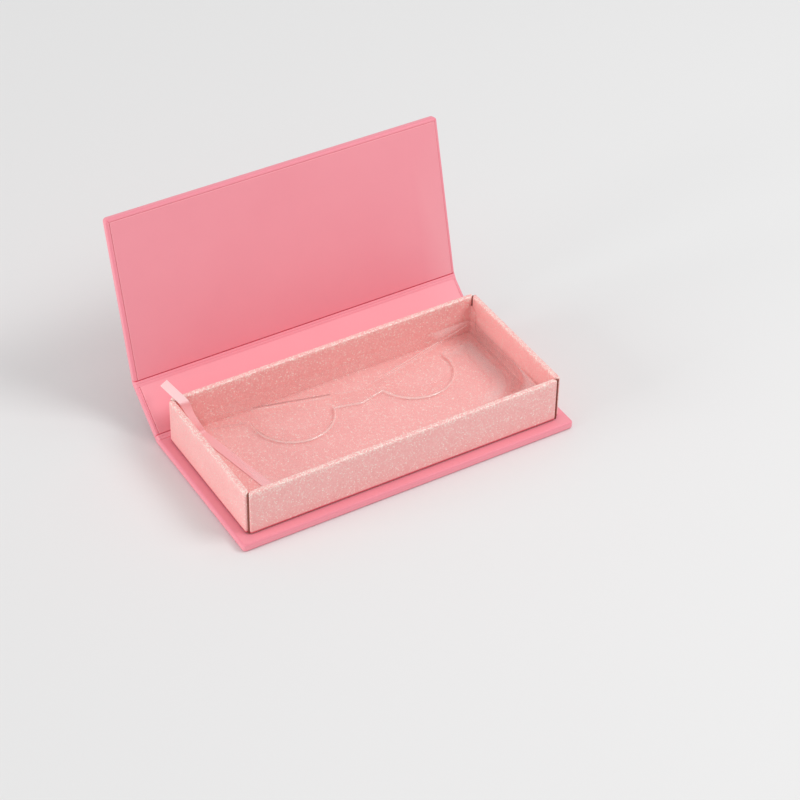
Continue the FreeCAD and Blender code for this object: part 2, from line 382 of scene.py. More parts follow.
# %% Hinge places
half_length = 58.0
half_cover = 1.475
hinge_half = 1.625
paper = 0.15
pivot_span = 18.95
spine_lift, lid_lift = np.radians([38.0, 75.3])
base_pivot = np.array([0.0, 29.375, half_cover])
lid_pivot = base_pivot + pivot_span * np.array([0.0, math.cos(spine_lift), math.sin(spine_lift)])
hinge_of = {"spine": (spine_lift, base_pivot), "lid": (lid_lift, lid_pivot)}
depth_of = {"base": 55.5, "spine": 15.7, "lid": 53.9}


def on_hinge(points, body):
    """Flat panel points turned to where the panel stands: forward for the base, up for spine and lid."""
    points = np.asarray(points, float)
    if body == "base":
        return points * [-1.0, -1.0, 1.0] + base_pivot
    angle, pivot = hinge_of[body]
    return np.column_stack([points[:, 0], turned(points[:, 1:], angle)]) + pivot


print("lid turns at", np.round(lid_pivot, 3))

# %% [markdown]
# A covered board is a stack of outlines. Each outline is the board seen from above, drawn in by a small
# amount, at its own height; drawing it in along a quarter circle rounds the edge. A box with a Bevel
# modifier would round every edge alike, but here two corners are square, where the board meets a crease,
# and two are rounded.

# %% Outlines of a panel
spine_corner = 0.02


def panel_outline(half_width, far, corner):
    """Rectangle with square corners at the hinge and rounded far corners, anticlockwise."""
    bend = corner * around(quarter(7))
    right = bend + [half_width - corner, far - corner]
    left = left_of(bend) + [corner - half_width, far - corner]
    square = np.array([[-half_width, hinge_half], [half_width, hinge_half]])
    return np.concatenate([square, right, left])


def stack(outlines, heights):
    """Points and faces of outlines set one above the other, with the first and last closed."""
    points = [raised(line, height) for line, height in zip(outlines, heights)]
    return np.concatenate(points), tube_faces(len(outlines), len(outlines[0]))


def panel_stack(body, rows, corner, least, side_inset=0.0, far_inset=0.0):
    """Stack of panel outlines from rows of inset and height, with the number of points in a row.

    The spine has creases at both edges, so its far edge is neither drawn in nor rounded."""
    end = hinge_half + depth_of[body]
    outlines = []
    for inset, _ in rows:
        half_width = half_length - side_inset - inset
        if body == "spine":
            outlines.append(panel_outline(half_width, end, spine_corner))
        else:
            soft = max(corner - inset, least)
            outlines.append(panel_outline(half_width, end - far_inset - inset, soft))
    points, faces = stack(outlines, [height for _, height in rows])
    return points, faces, len(outlines[0])


def round_rows(radius, level, sign, steps):
    """Rows of inset and height along a quarter circle: up a lower edge for sign 1, to the top for -1."""
    angles = quarter(steps)[::sign]
    return [(radius * (1 - math.sin(a)), level + sign * radius * (1 - math.cos(a))) for a in angles]


print("a panel outline has", len(panel_outline(half_length, 30.0, 1.0)), "points")

# %% [markdown]
# The wrap is the pink paper on the outside, over the edges and turned in. Its inner face has a shallow
# channel where the liner's edge was pressed down; that channel gives the thin dark line round the liner.
# Rows close to each bend keep the smooth shading off the large flat faces.

# %% Covered boards
edge_round = 0.8
edge_steps = 7
board_corner = 1.2
least_corner = 0.05
liner_margin = 1.2
beside_edge = 0.15
channel = ((-0.32, 0.0), (-0.2, 0.03), (-0.1, 0.12), (0.1, 0.12), (0.2, 0.02), (0.4, 0.02))


def covered_board(body, liner_inset):
    """Stack of outlines from the outer face, round the edge, to the inner face with its channel."""
    low, high = -half_cover, half_cover - paper
    rows = [(edge_round + beside_edge, low)]
    rows += round_rows(edge_round, low, 1, edge_steps) + round_rows(edge_round, high, -1, edge_steps)
    rows += [(liner_inset + beside, high - below) for beside, below in channel]
    points, faces, count = panel_stack(body, rows, board_corner, least_corner)
    # How far into the rounded edge a point lies; the finish paints it there as edge shade.
    bent = np.sin(2 * quarter(edge_steps))
    bent = np.concatenate([[0.0], bent, bent, np.zeros(len(channel))])
    return points, faces, np.repeat(bent, count)


for body, inset in (("base", 6.0), ("spine", liner_margin), ("lid", liner_margin)):
    points, faces, bent = covered_board(body, inset)
    make_piece(body + "_cover", on_hinge(points, body), faces, cover_finish, body,
               [body + "_wrap"], {"edge": bent})

# %% [markdown]
# At the lid's free corners the turned-in paper is folded as on a parcel, which leaves a slanting seam from
# the corner to the liner. A painted line would stay flat under the light, so each seam is a low ridge that
# follows the rounded edge, with painted shade in the crease colour along its top.

# %% Corner folds
seam_start, seam_gap = 0.1, 0.08
seam_ridge = np.array([[-0.12, -0.06], [-0.05, 0.04], [0.05, 0.04], [0.12, -0.06]])
# How much painted shade each point across the ridge gets, darkest on top.
seam_shade = (0.2, 0.7, 0.7, 0.2)


def corner_seams(end, margin):
    """Two ridges along the diagonals of the free corners, from just inside the edge to the liner's corner.

    The height is the edge's quarter circle, and the corner's arc gives the place on the diagonal."""
    inset = np.linspace(seam_start, margin - seam_gap, 10)
    slope = np.clip(1.0 - inset / edge_round, 0.0, 1.0)
    height = half_cover - paper - edge_round * (1.0 - np.sqrt(1.0 - slope ** 2))
    reach = (board_corner - inset) * math.sqrt(0.5) - board_corner
    sides = np.array([[-1.0], [1.0]])
    middle = np.stack([sides * (half_length + reach), np.tile(end + reach, (2, 1))], -1)
    across = left_of(unit(np.gradient(middle, axis=1)))
    flat = middle[:, :, None] + across[:, :, None] * seam_ridge[:, :1]
    level = np.broadcast_to(height[None, :, None] + seam_ridge[:, 1], flat.shape[:3])
    points = np.concatenate([flat, level[..., None]], axis=-1).reshape(-1, 3)
    one = np.array(tube_faces(len(inset), len(seam_ridge)))
    return points, np.concatenate([one, one + one.max() + 1]).tolist()


points, faces = corner_seams(hinge_half + depth_of["lid"], liner_margin)
make_piece("lid_corner_folds", on_hinge(points, "lid"), faces, cover_finish, "lid", (),
           {"pressed": np.tile(seam_shade, len(points) // len(seam_shade))})

# %% [markdown]
# The liner is a second sheet pasted inside. It could be drawn on the board, but a sheet of its own catches
# light on its cut edge, which rises by the paper's thickness. It is a low stack of outlines too. On the lid
# it sinks very slightly twelve millimetres in, where the turned-in paper under it ends, and on the base it
# reaches just under the tray.

# %% Liners
cut_edge = ((0.0, paper + 0.01, 0.0), (0.0, 0.05, 0.6), (0.02, 0.015, 1.0), (0.06, 0.0, 0.6),
            (0.3, 0.0, 0.0))
sunk_middle = ((10.0, 0.0, 0.0), (10.5, 0.008, 0.0), (11.0, 0.03, 0.0), (11.6, 0.035, 0.0))
liner_corner = 0.12


def liner_sheet(body, side_inset, far_inset):
    """Outlines of the pasted sheet, from its underside over the cut edge to its middle.

    Each step has an inset, a depth below the top and how much of the pale core and painted highlight shows."""
    inset, below, core_and_highlight = np.array(cut_edge + sunk_middle if body == "lid" else cut_edge).T
    rows = list(zip(inset, half_cover - below))
    points, faces, count = panel_stack(body, rows, liner_corner, liner_corner, side_inset, far_inset)
    return points, faces, np.repeat(core_and_highlight, count)


for body, side_inset, far_inset in (("base", 4.0, 4.2), ("spine", liner_margin, 0.0),
                                    ("lid", liner_margin, liner_margin)):
    points, faces, core_and_highlight = liner_sheet(body, side_inset, far_inset)
    make_piece(body + "_lining", on_hinge(points, body), faces, liner_finish, body,
               [body + "_liner"], {"edge": core_and_highlight})

# %% [markdown]
# At each crease the paper alone crosses from board to board. Outside it runs round the pivot in an arc, so
# it stays smooth as the cover folds; inside it is pressed into a deep narrow crease beside the upper board
# and a fainter one lower down. Bones could bend it, but a blend is simpler: each strip follows the lower
# board at one side and the upper at the other, and turns smoothly in between.

# %% Creases
swing_from, swing_to = 0.3, 0.7
deep_press, deep_at, deep_wide = 0.6, 0.9, 0.055
faint_press, faint_at, faint_wide = 0.06, 0.42, 0.06
most_drawn_in = 0.45


def crease_strip(pivot, lower_lift, bend):
    """Band between an outer arc and an inner line with two pressed creases, carried along the case."""
    share = np.linspace(0.0, 1.0, 61)
    swing = np.clip((share - swing_from) / (swing_to - swing_from), 0.0, 1.0)
    before = np.clip(share / swing_from, 0.0, 1.0)
    beyond = np.clip((share - swing_to) / (1.0 - swing_to), 0.0, 1.0)
    outer = -half_cover * left_of(around(swing * bend))
    outer += np.outer(before - 1.0, [hinge_half, 0.0]) + np.outer(beyond, hinge_half * around(bend))
    first = np.array([-hinge_half, half_cover])
    chord = turned([hinge_half, half_cover], bend) - first
    pressed = deep_press * np.exp(-((share - deep_at) / deep_wide) ** 2)
    pressed += faint_press * np.exp(-((share - faint_at) / faint_wide) ** 2)
    inner = first + np.outer(share, chord) - np.outer(pressed, left_of(unit(chord)))
    round_by = quarter(6)
    ends = half_length - edge_round + edge_round * np.sin(round_by)
    along = np.concatenate([-ends[::-1], ends])
    shrink = edge_round * (1 - np.cos(round_by))
    shrink = np.concatenate([shrink[::-1], shrink])
    apart = np.linalg.norm(outer - inner, axis=1)
    drawn_in = np.minimum(shrink[:, None], most_drawn_in * apart)[..., None] * unit(outer - inner)
    ring = turned(np.concatenate([outer - drawn_in, (inner + drawn_in)[:, ::-1]], axis=1), lower_lift)
    count = ring.shape[1]
    points = np.concatenate([np.broadcast_to(along[:, None, None], (len(along), count, 1)), ring], axis=2)
    half = count // 2
    step = np.arange(half - 1)
    cap = np.stack([step, count - 1 - step, count - 2 - step, step + 1], 1)
    faces = grid_faces(len(along), count) + cap.tolist()
    faces += (cap[:, ::-1] + (len(along) - 1) * count).tolist()
    print("crease width inside", round(float(np.hypot(*chord)), 2), "mm")
    # The press depth also sets how much painted shade the crease gets.
    crease_shade = np.tile(np.concatenate([np.zeros(half), (pressed / deep_press)[::-1]]), len(along))
    return points.reshape(-1, 3) + pivot, faces, crease_shade


for name, pair, pivot, lift, bend in (
        ("lower", ("base", "spine"), base_pivot, 0.0, spine_lift),
        ("upper", ("spine", "lid"), lid_pivot, spine_lift, lid_lift - spine_lift)):
    points, faces, crease_shade = crease_strip(pivot, lift, bend)
    strip = make_piece(name + "_crease", points, faces, cover_finish, None,
                       [name + "_hinge_strip"], {"pressed": crease_shade}, sharp=60.0)
    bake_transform(strip)

# %% [markdown]
# The tray's four walls are boards wrapped in glitter paper. Their ends are cut at 45 degrees and stay a
# little apart, so each corner shows a dark slit between two soft edges; one box with a hole would lose
# those slits. The front wall is cut slightly short, which widens its right slit. A wall is a stack of
# outlines again, worked out lying along X and then turned to its side of the tray. Values tell the glitter
# finish where to paint more glints, near the folded rim, and where to paint shade, at the foot.

# %% Tray walls
tray_half, tray_front, tray_back = 55.0, -24.55, 26.95
wall_bottom, wall_rim, wall_thick = 2.95, 18.55, 1.8
corner_slit = 0.4
rim_round = 0.5
end_round, least_end_round = 0.6, 0.03
foot_round = 0.6
beside_bend = 0.1
foot_shade_height, foot_shade_fade = 1.05, 0.35
fold_reach, fold_fade = 3.6, 3.2
fold_rows = (fold_reach, 2.6, 1.8, 1.1, rim_round + beside_bend)


def mitred_outline(length, short, inset):
    """Trapezoid with ends at 45 degrees, drawn in by the inset, with an arc at each corner."""
    cut = corner_slit * math.sqrt(0.5) + inset * math.sqrt(2.0)
    low, high, end = inset, wall_thick - inset, length - short - cut
    corners = np.array([[low + cut, low], [end - low, low], [end - high, high], [high + cut, high]])
    soft = max(end_round - inset, least_end_round)
    back = unit(np.roll(corners, 1, axis=0) - corners)
    ahead = unit(np.roll(corners, -1, axis=0) - corners)
    half = np.arccos((back * ahead).sum(axis=1)) / 2
    middles = corners + unit(back + ahead) * (soft / np.sin(half))[:, None]
    touch = corners + back * (soft / np.tan(half))[:, None] - middles
    first = np.arctan2(touch[:, 1], touch[:, 0])
    spin = first[:, None] + np.linspace(0.0, 1.0, 7) * (math.pi - 2 * half)[:, None]
    return (middles[:, None] + soft * around(spin)).reshape(-1, 2)


def wrapped_wall(length, short):
    """Upright wall: soft foot, straight sides, then outlines drawn in along a quarter circle to the rim."""
    rows = round_rows(foot_round, wall_bottom, 1, 5)
    rows += [(0.0, wall_bottom + foot_round + beside_bend), (0.0, wall_bottom + foot_shade_height)]
    rows += [(0.0, wall_rim - below) for below in fold_rows]
    rows += round_rows(rim_round, wall_rim, -1, 7) + [(rim_round + beside_bend, wall_rim)]
    outlines = [mitred_outline(length, short, inset) for inset, _ in rows]
    points, faces = stack(outlines, [height for _, height in rows])
    # How near the rim is, for more painted glints.
    edge_light_and_shade = np.clip((points[:, 2] - wall_rim + fold_reach) / fold_fade, 0.0, 1.0) ** 3
    # Painted shade at the foot.
    foot_shaded = np.clip((wall_bottom + foot_shade_height - points[:, 2]) / foot_shade_fade, 0.0, 1.0)
    return points, faces, edge_light_and_shade, foot_shaded


tray_length, tray_depth = 2 * tray_half, tray_back - tray_front
tray_places = {
    "left": (tray_depth, 0.0, -90.0, (-tray_half, tray_back)),
    "right": (tray_depth, 0.0, 90.0, (tray_half, tray_front)),
    "front": (tray_length, 0.7, 0.0, (-tray_half, tray_front)),
    "back": (tray_length, 0.0, 180.0, (tray_half, tray_back)),
}
# The left wall gets fewer painted glints, after how light falls on it.
for side, (length, short, degrees, corner) in tray_places.items():
    points, faces, edge_light_and_shade, foot_shaded = wrapped_wall(length, short)
    plan = turned(points[:, :2], math.radians(degrees)) + corner
    make_piece("tray_" + side, raised(plan, points[:, 2]), faces, glitter_finish, "base",
               ["tray_" + side + "_paper"],
               {"edge": edge_light_and_shade, "foot": foot_shaded, "fewer_glints": np.full(len(points), side == "left", float)})

# %% [markdown]
# Inside each corner a folded flap of the same paper covers the lower part of the slit between two walls.
# In plan it is a thin bent strip with a soft inner corner; it is carried upwards, and its top edge is cut
# lower towards both ends.

# %% Corner flaps
flap_bottom, flap_top, flap_drop = 4.56, 15.2, 1.6
flap_leg, flap_thin, flap_soft = 2.6, 0.09, 0.5
flap_gap = 0.01


def corner_flap(x, y, across, along):
    """Bent strip from one wall round the corner to the other, with a four-cornered section at each step."""
    turn_by = quarter(6)
    bend = flap_soft * (np.stack([np.sin(turn_by), np.cos(turn_by)], 1) - 1.0)
    ends = flap_leg * np.array([[1.0, 0.0], [0.6, 0.0], [0.0, 0.6], [0.0, 1.0]])
    line = np.concatenate([-ends[:2], bend, -ends[2:]])
    inner = line - flap_thin
    tops = flap_top - flap_drop * np.abs(line).max(axis=1) / flap_leg
    section = [raised(line, flap_bottom), raised(line, tops),
               raised(inner, tops), raised(inner, flap_bottom)]
    points = np.stack(section, axis=1).reshape(-1, 3) * [across, along, 1.0] + [x, y, 0.0]
    return points, tube_faces(len(line), len(section))


for side, along, wall_y in (("back", 1, tray_back), ("front", -1, tray_front)):
    for end, across in (("right", 1), ("left", -1)):
        x = across * (tray_half - wall_thick - flap_gap)
        y = wall_y - along * (wall_thick + flap_gap)
        points, faces = corner_flap(x, y, across, along)
        make_piece(f"{side}_{end}_flap", points, faces, glitter_finish, "base")

# %% [markdown]
# The insert is one clear sheet, drawn by heat over a form: a low pan, a shelf that meets it in a shallow V,
# and two half-moon seats. Boolean cuts would leave hard edges, so the sheet is one grid, and its rows are
# loops of points. Three helpers make loops: a straight run, a mirror image, and a softening that rounds
# corners.

# %% Loops of points
soft_reach = np.arange(-8, 9)


def run(first, last, count):
    """Points from first to last, without the last."""
    share = np.linspace(0.0, 1.0, count, endpoint=False)[:, None]
    return first + share * (np.asarray(last, float) - first)


def both_halves(right):
    """Whole loop from its right half: the left half is the mirror image, run backwards."""
    left = right[:0:-1] * [-1.0, 1.0]
    return np.concatenate([right, left])


def soften(loop, width):
    """Closed loop averaged with its neighbours by a bell curve, which rounds its corners."""
    bell = np.exp(-0.5 * (soft_reach / width) ** 2)
    bell /= bell.sum()
    return sum(weight * np.roll(loop, -step, axis=0) for weight, step in zip(bell, soft_reach))


print("a softened point takes in", len(soft_reach) - 1, "neighbours")

# %% [markdown]
# Seen from above, the pan's wall is one closed edge. Every bend needs a parallel edge, so the edge is a
# function of a shift: the V moves, the seats' arcs grow, and the corners still meet. The sheet's outer edge
# is a rectangle whose points are spread so that each faces one of the pan's.

# %% Edge of the pan
middle_x, half_span, front_y, back_y = 3.8, 49.0, -22.15, 24.65
back_corner, front_corner, pan_corner = 2.5, 6.0, 13.0
apex_y, shelf_lean, seat_out = 10.25, math.radians(14.3), 21.7
v_way = around(shelf_lean)
seat_way = np.array([math.sin(shelf_lean), -math.cos(shelf_lean)])
seat_middle = np.array([seat_out, apex_y + math.tan(shelf_lean) * seat_out])
steps_of = (24, 110, 40, 30, 50, 24)
marks = np.cumsum((0,) + steps_of)
rim_stops = np.array([0.0, 9.0, 34.3, 48.9, 74.7, 106.0, 141.15])


def pan_edge(shift, radius, half_width, front, chord=False):
    """V line, seat arc, side, round front corner and front line, drawn into the pan by the shift.

    With chord, each arc is laid straight along the V line, which gives the seat's back edge."""
    grown = radius + shift
    first = math.asin(shift / grown)
    spin = np.linspace(first, math.pi - first, steps_of[1] + 1)
    depth = np.full(len(spin), shift) if chord else grown * np.sin(spin)
    arc = seat_middle - np.outer(grown * np.cos(spin), v_way) + np.outer(depth, seat_way)
    apex = np.array([0.0, apex_y - shift / math.cos(shelf_lean)])
    side, low, corner = half_width - shift, front + shift, pan_corner - shift
    side_top = np.array([side, apex[1] + math.tan(shelf_lean) * side])
    bend = np.linspace(0.0, math.pi / 2, steps_of[4], endpoint=False)
    sweep = np.array([side - corner, low + corner]) + corner * around(bend) * [1.0, -1.0]
    right = np.concatenate([run(apex, arc[0], steps_of[0]), arc[:-1], run(arc[-1], side_top, steps_of[2]),
                            run(side_top, [side, low + corner], steps_of[3]), sweep,
                            run(np.array([side - corner, low]), [0.0, low], steps_of[5])])
    return soften(both_halves(right), 1.2)


def rim_edge(inset):
    """Outer edge of the sheet: a rectangle with rounded corners, its points set to face the pan's."""
    side, back, front = half_span - inset, back_y - inset, front_y + inset
    small, large = back_corner - inset, front_corner - inset
    bend = around(quarter(9))
    line = np.concatenate([
        [[0.0, back]], small * bend[:, ::-1] + [side - small, back - small],
        large * bend * [1.0, -1.0] + [side - large, front + large], [[0.0, front]]])
    gone = np.concatenate([[0.0], np.linalg.norm(np.diff(line, axis=0), axis=1).cumsum()])
    wanted = np.interp(np.arange(marks[-1]), marks, rim_stops / rim_stops[-1] * gone[-1])
    return both_halves(np.stack([np.interp(wanted, gone, axis) for axis in line.T], 1))


print("pan edge has", len(rim_edge(0.0)), "points")

# %% [markdown]
# A clear sheet shows mostly what it mirrors, and the room that it would mirror isn't in the scene. So each
# stretch of the edge gets marks for the finish: a bend gets a painted highlight where its mark is above
# zero and painted shade where it is below, and mist is a painted pale reflection on a flat. The stretches
# are the V line, the seat, the V line again, the side, the round corner and the front.


# %% Marks along the edge
def along_edge(right, left=(0.0,) * 6):
    """One mark for each stretch of the edge, right half then left half, softened where stretches meet."""
    whole = np.concatenate([np.repeat(right, steps_of), np.repeat(left, steps_of)[:0:-1]])
    return soften(whole, 3.0)


# Above zero a mark paints a highlight, below zero it paints shade.
foot_mark = along_edge((0.9, 1.0, 0.45, 0.1, 0.15, 0.15), (0.8, 1.0, -0.45, 0.1, 0.15, 0.15))
top_mark = along_edge((0.5, 0.3, 0.65, 0.15, 0.15, 0.15), (0.5, 0.3, 0.4, 0.1, 0.15, 0.15))
step_mark = along_edge((0.0, 0.9, 0.0, 0.0, 0.0, 0.0), (0.0, -0.75, 0.0, 0.0, 0.0, 0.0))
# Painted shade on the right side and corner of the pan's wall.
wall_mark = along_edge((0.0, 0.0, 0.0, -0.62, -0.5, 0.0))
# Painted pale reflection on the shelf and the pan's floor, mostly at the right.
shelf_reflection = along_edge((0.0, 0.0, 0.2, 0.25, 0.55, 0.25), (0.0, 0.0, 0.0, 0.0, 0.1, 0.1))
floor_reflection = along_edge((0.0, 0.0, 0.25, 0.4, 0.3, 0.0))
print("brightest bend", round(float(foot_mark.max()), 2), "and darkest", round(float(step_mark.min()), 2))

# %% [markdown]
# The sheet's lines come next. Each is the pan's edge or the sheet's rim at one shift and one height, before
# any bend is rounded. Along the front and back straight runs the lip goes down to stand on the floor.

# %% Lines of the sheet
top_z, pan_z, seat_z, tray_floor_z = 10.45, 5.15, 9.75, 4.55
foot_bend, top_bend, step_wide, rim_bend = 0.7, 0.4, 0.3, 0.45
lip_drop, hem_drop, leg_half, floor_gap = 0.5, 0.25, 43.0, 0.02
low_edge = (13.2, 47.1, -10.65)
high_edge = (12.8, 47.7, -15.15)
on_seat = np.zeros(marks[-1])
on_seat[marks[1]:marks[2]] = 1.0
seat_share = soften(np.concatenate([on_seat, on_seat[:0:-1]]), 1.0)
wall_top_z = top_z - (top_z - seat_z) * seat_share
foot_in = raised(pan_edge(foot_bend, *low_edge), pan_z)
foot_line = raised(pan_edge(0.0, *low_edge), pan_z)
top_line = raised(pan_edge(0.0, *high_edge), wall_top_z)
top_out = raised(pan_edge(-top_bend, *high_edge), wall_top_z)
seat_back = raised(pan_edge(-top_bend, *high_edge, True), wall_top_z)
step_top = raised(pan_edge(-top_bend - step_wide, *high_edge, True), top_z)
rim_in, rim_line = raised(rim_edge(rim_bend), top_z), raised(rim_edge(0.0), top_z)
up_wall = unit(top_line - foot_line)
low_wall, high_wall = foot_line + foot_bend * up_wall, top_line - top_bend * up_wall
lip = rim_line - [0.0, 0.0, lip_drop]
hem = lip - [0.0, 0.0, hem_drop]
straight = (np.abs(lip[:, 1] - back_y) < 0.01) | (np.abs(lip[:, 1] - front_y) < 0.01)
stands = np.clip(leg_half - np.abs(lip[:, 0]), 0.0, 1.0) * straight
hem[:, 2] -= stands * (hem[:, 2] - tray_floor_z - floor_gap)
print("sheet stands from", round(float(hem[:, 2].min()), 2), "to", top_z, "mm")

# %% [markdown]
# Now each point of the edge carries the sheet's profile from line to line: floor, foot, wall, seat, a small
# step, shelf and lip. A bend is a soft curve between two flats, as heat leaves it, and every row is added
# together with its marks.

# %% Profile of the sheet
floor_rows = ((6.0, 0.0), (4.8, 0.6), (3.4, 1.0), (2.2, 1.0), (1.1, 0.6))
clear = np.zeros(len(lip))


def bend_rows(first, corner, last, steps):
    """Rows of a soft corner: the curve of second degree from first to last, drawn towards the corner."""
    shares = np.linspace(0.0, 1.0, steps)
    return [(1 - t) ** 2 * first + 2 * t * (1 - t) * corner + t * t * last for t in shares]


def between(first, last, shares):
    """Rows at these shares of the way from first to last."""
    return [first + t * (last - first) for t in shares]


def arch(steps, most):
    """Marks that rise from 0 to the most in the middle of a bend and fall again."""
    return [most * math.sin(turned_by) for turned_by in np.linspace(0.0, math.pi, steps)]


rows, bent, reflected = [], [], []


def add(new_rows, bend_marks=None, reflection_marks=None):
    """Adds rows to the sheet with their marks, which are zero where none are given."""
    rows.extend(new_rows)
    bent.extend(bend_marks or [clear] * len(new_rows))
    reflected.extend(reflection_marks or [clear] * len(new_rows))


add([raised(pan_edge(shift, *low_edge), pan_z) for shift, _ in floor_rows], None,
    [share * floor_reflection for _, share in floor_rows])
add(bend_rows(foot_in, foot_line, low_wall, 8), arch(8, foot_mark))
add(between(low_wall, high_wall, (0.1, 0.5, 0.9)), [wall_mark] * 3)
add(bend_rows(high_wall, top_line, top_out, 7), arch(7, top_mark))
add(between(top_out, seat_back, (0.06, 0.5, 0.9, 0.97)), [clear, clear, clear, 0.6 * seat_share])
add([seat_back + (step_top - seat_back) * [t, t, t * t * (3 - 2 * t)] for t in np.linspace(0.0, 1.0, 8)],
    arch(8, step_mark))
add(between(step_top, rim_in, (0.06, 0.5, 0.94)), None, [clear, shelf_reflection, shelf_reflection])
add(bend_rows(rim_in, rim_line, lip, 6), arch(6, 0.5 * top_mark))
add([(lip + hem) / 2, hem])
count = len(lip)
sheet_points = np.concatenate(rows) + [middle_x, 0.0, 0.0]
sheet_faces = grid_faces(len(rows), count)
sheet_faces.append(list(range(count - 1, -1, -1)))
print("sheet of", len(rows), "rows by", count, "points")

# %% [markdown]
# Clear plastic shows mainly by its bends, which gather light into thin bright lines, and by its walls,
# which look slightly milky when seen along the sheet. Its flats are nearly invisible. Real refraction is
# slow and grainy in a sheet so thin, so the finish is simply see-through, and the marked bends, the mist
# and the grazing walls are more solid. The bends carry painted highlights and painted shade, and the mist
# and the grazing walls a painted pale reflection.

# %% Clear plastic
sheet_thick = 0.3


def clear_plastic(name):
    """Alpha is a little haze, plus the bend marks squared and the mist. The colour follows these marks."""
    material, shader, place = new_finish(name, Roughness=0.08, IOR=1.57, Coat_Weight=1.0,
                                         Coat_Roughness=0.05)
    at_bend = mesh_value(place, "bend")
    painted_reflection = mesh_value(place, "painted_reflection")
    grazing = place.node("ShaderNodeLayerWeight", {}, {"Blend": 0.4}, "Facing")
    haze = noise(place, 0.012, 2.0)
    gleam = noise(place, 0.005, 1.0)
    # Flats get a faint pale tint as painted reflection.
    flats = colour_mix(haze, srgb(252, 226, 222), srgb(255, 238, 234))
    # Bend marks above zero paint a highlight, below zero paint shade; the mist paints a pale reflection.
    lit = colour_mix(at_bend, flats, srgb(255, 222, 216))
    dark = colour_mix(-1.0 * at_bend, lit, srgb(176, 100, 96))
    tint = colour_mix(painted_reflection ** 0.5, dark, srgb(255, 250, 247))
    marked = (0.1 + 0.95 * gleam) * at_bend * at_bend + (0.35 + 0.4 * gleam) * painted_reflection
    feed(shader, Base_Color=tint, Alpha=0.015 + 0.04 * haze + 0.06 * grazing ** 3.0 + marked)
    return material


clear_finish = clear_plastic("clear_sheet")
insert = make_piece("lash_tray_insert", sheet_points, sheet_faces, clear_finish, "insert",
                    ["lash_insert"], {"bend": np.concatenate(bent), "painted_reflection": np.concatenate(reflected)},
                    sharp=180.0)
lay = np.zeros(len(insert.data.polygons) * 3)
insert.data.polygons.foreach_get("normal", lay)
if lay.reshape(-1, 3)[:, 2].sum() < 0:
    insert.data.flip_normals()
thick = insert.modifiers.new("sheet", "SOLIDIFY")
thick.thickness = sheet_thick * MM
thick.offset = -1.0
thick.use_even_offset = False

# %% [markdown]
# The pull ribbon is satin, which shows its threads along and across. Two wave patterns give the weave. They
# lie on the strap's own flat map, because a pattern in space would not bend with it. The tail above the
# rim is painted paler, as sheen, and what lies below the rim a deeper pink, as shade.


# %% Satin
def satin(name):
    """Two waves make the weave, which drives the colour, the roughness and a bump."""
    material, shader, place = new_finish(name, Sheen_Weight=0.35, Sheen_Roughness=0.35)
    flat = place.node("ShaderNodeUVMap", {"uv_map": "flat"}, {}, 0)
    ends = place.node("ShaderNodeTexWave", {"bands_direction": "X"},
                      {"Vector": flat, "Scale": 900.0, "Distortion": 0.6, "Detail": 2.0}, "Fac")
    picks = place.node("ShaderNodeTexWave", {"bands_direction": "Y"},
                       {"Vector": flat, "Scale": 700.0, "Distortion": 0.4}, "Fac")
    weave = 0.7 * ends + 0.3 * picks
    # The tail is painted paler as sheen, and the strap below the rim deeper as shade.
    lit_tail = colour_mix(weave, srgb(252, 208, 210), srgb(255, 228, 228))
    deep = colour_mix(weave, srgb(252, 184, 188), srgb(255, 204, 206))
    sheen_and_shade = colour_mix(mesh_value(place, "below"), lit_tail, deep)
    feed(shader, Base_Color=sheen_and_shade, Roughness=0.3 + 0.18 * weave, Normal=bump(place, weave, 0.25, 0.00003))
    return material


ribbon_finish = satin("satin_ribbon")
print("made", ribbon_finish.name)

# %% [markdown]
# The ribbon is a flat strap. A curve with a bevel would twist on its own at the bends, so a flat oval
# profile is carried along a path, with its width kept level. The weave's map comes from the same two
# measures: how far across, and how far along.

# %% Strap
ribbon_half = 1.6
ribbon_thin = 0.1
cut_reach = 6.0


def strap(name, path, nodes, below, twist=0.0, cut=0.0):
    """Flat oval profile carried along a path. Its width lies along the case, turned about the upright by
    the twist at each point, and a cut slants the far end."""
    path = np.asarray(path, float)
    way = unit(np.gradient(path, axis=0))
    twist = np.broadcast_to(twist, len(path))
    side = raised(around(twist), 0.0)
    face = unit(np.cross(side, way))
    profile = around(np.linspace(0.0, 2 * math.pi, 24, endpoint=False))
    wide, thin = (np.sign(profile) * np.abs(profile) ** [0.35, 0.6] * [ribbon_half, ribbon_thin]).T
    gone = np.linalg.norm(np.diff(path, axis=0, prepend=path[:1]), axis=1).cumsum()
    slant = np.clip((gone - gone[-1] + cut_reach) / cut_reach, 0.0, 1.0)
    points = (path[:, None] + wide[None, :, None] * side[:, None] + thin[None, :, None] * face[:, None]
              + (slant[:, None] * wide[None] / ribbon_half * cut / 2)[..., None] * way[:, None])
    grid = (len(path), len(profile))
    flat = np.stack([np.broadcast_to(wide, grid), np.broadcast_to(gone[:, None], grid)], -1)
    return make_piece(name, points.reshape(-1, 3), tube_faces(*grid), ribbon_finish, "base",
                      nodes, {"below": np.repeat(below, len(profile))},
                      flat.reshape(-1, 2) * MM, 50.0)


print("ribbon is", 2 * ribbon_half, "by", 2 * ribbon_thin, "mm")

# %% [markdown]
# It lies on the tray's floor under the insert, turns up beside the back wall, leans to the left and lies
# over the rim: straight runs joined by soft bends. The free tail is a piece of its own, with a mesh of its
# own, because the closing spine pushes it together.

# %% Path of the ribbon
ribbon_bend = 1.4
tail_cut = 1.6
most_twist = math.radians(35.0)


